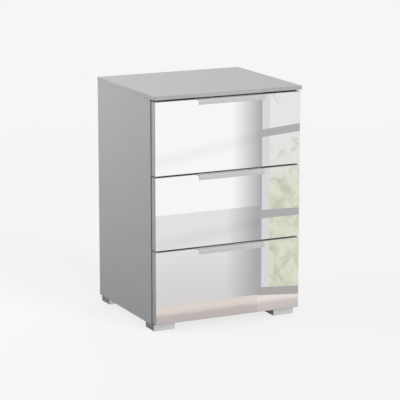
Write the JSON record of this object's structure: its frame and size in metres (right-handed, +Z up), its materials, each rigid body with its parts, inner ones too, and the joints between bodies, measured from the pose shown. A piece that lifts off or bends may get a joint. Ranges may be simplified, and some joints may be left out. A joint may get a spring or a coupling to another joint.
{
  "type": "bedside chest of drawers",
  "caption": "Low grey bedside chest with a thin top, mirror-faced drawers that slide out on roller runners, bent edge-pull handles and block feet.",
  "frame": {"origin": "on the floor, under the middle of the box round the whole chest", "axes": "+Z up, the mirror fronts look along -Y, +X to the right of someone facing them"},
  "size_m": [0.4, 0.366, 0.587],
  "materials": {
    "grey_melamine": "melamine-faced chipboard, silver grey, satin",
    "hardboard": "lacquered hardboard",
    "drawer_foil": "foil-wrapped chipboard",
    "beech": "plain",
    "mirror_glass": "silvered float glass, polished",
    "satin_aluminium": "satin anodised",
    "silver_plastic": "silver-grey moulded",
    "coated_steel": "white epoxy coat",
    "nylon": "moulded",
    "zinc_steel": "bright zinc plate",
    "zinc_alloy": "die cast"
  },
  "bodies": {
    "carcass": {"top_panel": "grey_melamine", "bottom_panel": "grey_melamine", "back_panel": "hardboard", "front_rail": "grey_melamine", "rear_rail": "grey_melamine", "side_panel_left": "grey_melamine", "side_panel_right": "grey_melamine", "foot_front_left": "silver_plastic", "foot_front_right": "silver_plastic", "foot_rear_left": "silver_plastic", "foot_rear_right": "silver_plastic", "foot_screws": "zinc_steel", "carcass_dowels": "beech", "cam_bolts": "zinc_steel", "cam_locks": "zinc_alloy", "top_screws": "zinc_steel", "back_panel_screws": "zinc_steel", "runner_screws": "zinc_steel", "cabinet_runner_left_upper": "coated_steel", "cabinet_runner_right_upper": "coated_steel", "cabinet_runner_left_middle": "coated_steel", "cabinet_runner_right_middle": "coated_steel", "cabinet_runner_left_lower": "coated_steel", "cabinet_runner_right_lower": "coated_steel"},
    "drawer_upper": {"drawer_front_upper": "grey_melamine", "mirror_upper": "mirror_glass", "handle_upper": "satin_aluminium", "drawer_back_upper": "drawer_foil", "drawer_bottom_upper": "hardboard", "drawer_fixings_upper": "zinc_steel", "drawer_side_left_upper": "drawer_foil", "drawer_side_right_upper": "drawer_foil", "drawer_runner_left_upper": "coated_steel", "drawer_runner_right_upper": "coated_steel"},
    "cabinet_rollers_upper": {"cabinet_rollers_upper": "nylon"},
    "drawer_rollers_upper": {"drawer_rollers_upper": "nylon"},
    "drawer_middle": {"drawer_front_middle": "grey_melamine", "mirror_middle": "mirror_glass", "handle_middle": "satin_aluminium", "drawer_back_middle": "drawer_foil", "drawer_bottom_middle": "hardboard", "drawer_fixings_middle": "zinc_steel", "drawer_side_left_middle": "drawer_foil", "drawer_side_right_middle": "drawer_foil", "drawer_runner_left_middle": "coated_steel", "drawer_runner_right_middle": "coated_steel"},
    "cabinet_rollers_middle": {"cabinet_rollers_middle": "nylon"},
    "drawer_rollers_middle": {"drawer_rollers_middle": "nylon"},
    "drawer_lower": {"drawer_front_lower": "grey_melamine", "mirror_lower": "mirror_glass", "handle_lower": "satin_aluminium", "drawer_back_lower": "drawer_foil", "drawer_bottom_lower": "hardboard", "drawer_fixings_lower": "zinc_steel", "drawer_side_left_lower": "drawer_foil", "drawer_side_right_lower": "drawer_foil", "drawer_runner_left_lower": "coated_steel", "drawer_runner_right_lower": "coated_steel"},
    "cabinet_rollers_lower": {"cabinet_rollers_lower": "nylon"},
    "drawer_rollers_lower": {"drawer_rollers_lower": "nylon"}
  },
  "joints": [
    {"name": "drawer_upper_slide", "type": "slide", "parent": "carcass", "child": "drawer_upper", "axis": [0, -1, 0], "range_m": [0, 0.23]},
    {"name": "cabinet_rollers_upper_spin", "type": "hinge", "parent": "carcass", "child": "cabinet_rollers_upper", "pos_m": [0, -0.126, 0.4227], "axis": [1, 0, 0], "continuous": true},
    {"name": "drawer_rollers_upper_spin", "type": "hinge", "parent": "drawer_upper", "child": "drawer_rollers_upper", "pos_m": [0, 0.1505, 0.4227], "axis": [1, 0, 0], "continuous": true},
    {"name": "drawer_middle_slide", "type": "slide", "parent": "carcass", "child": "drawer_middle", "axis": [0, -1, 0], "range_m": [0, 0.23]},
    {"name": "cabinet_rollers_middle_spin", "type": "hinge", "parent": "carcass", "child": "cabinet_rollers_middle", "pos_m": [0, -0.126, 0.2378], "axis": [1, 0, 0], "continuous": true},
    {"name": "drawer_rollers_middle_spin", "type": "hinge", "parent": "drawer_middle", "child": "drawer_rollers_middle", "pos_m": [0, 0.1505, 0.2378], "axis": [1, 0, 0], "continuous": true},
    {"name": "drawer_lower_slide", "type": "slide", "parent": "carcass", "child": "drawer_lower", "axis": [0, -1, 0], "range_m": [0, 0.23]},
    {"name": "cabinet_rollers_lower_spin", "type": "hinge", "parent": "carcass", "child": "cabinet_rollers_lower", "pos_m": [0, -0.126, 0.0529], "axis": [1, 0, 0], "continuous": true},
    {"name": "drawer_rollers_lower_spin", "type": "hinge", "parent": "drawer_lower", "child": "drawer_rollers_lower", "pos_m": [0, 0.1505, 0.0529], "axis": [1, 0, 0], "continuous": true}
  ],
  "couplings": [
    {"joint": "cabinet_rollers_upper_spin", "follows": "drawer_upper_slide", "rad_per_m": 100},
    {"joint": "drawer_rollers_upper_spin", "follows": "drawer_upper_slide", "rad_per_m": 100},
    {"joint": "cabinet_rollers_middle_spin", "follows": "drawer_middle_slide", "rad_per_m": 100},
    {"joint": "drawer_rollers_middle_spin", "follows": "drawer_middle_slide", "rad_per_m": 100},
    {"joint": "cabinet_rollers_lower_spin", "follows": "drawer_lower_slide", "rad_per_m": 100},
    {"joint": "drawer_rollers_lower_spin", "follows": "drawer_lower_slide", "rad_per_m": 100}
  ]
}
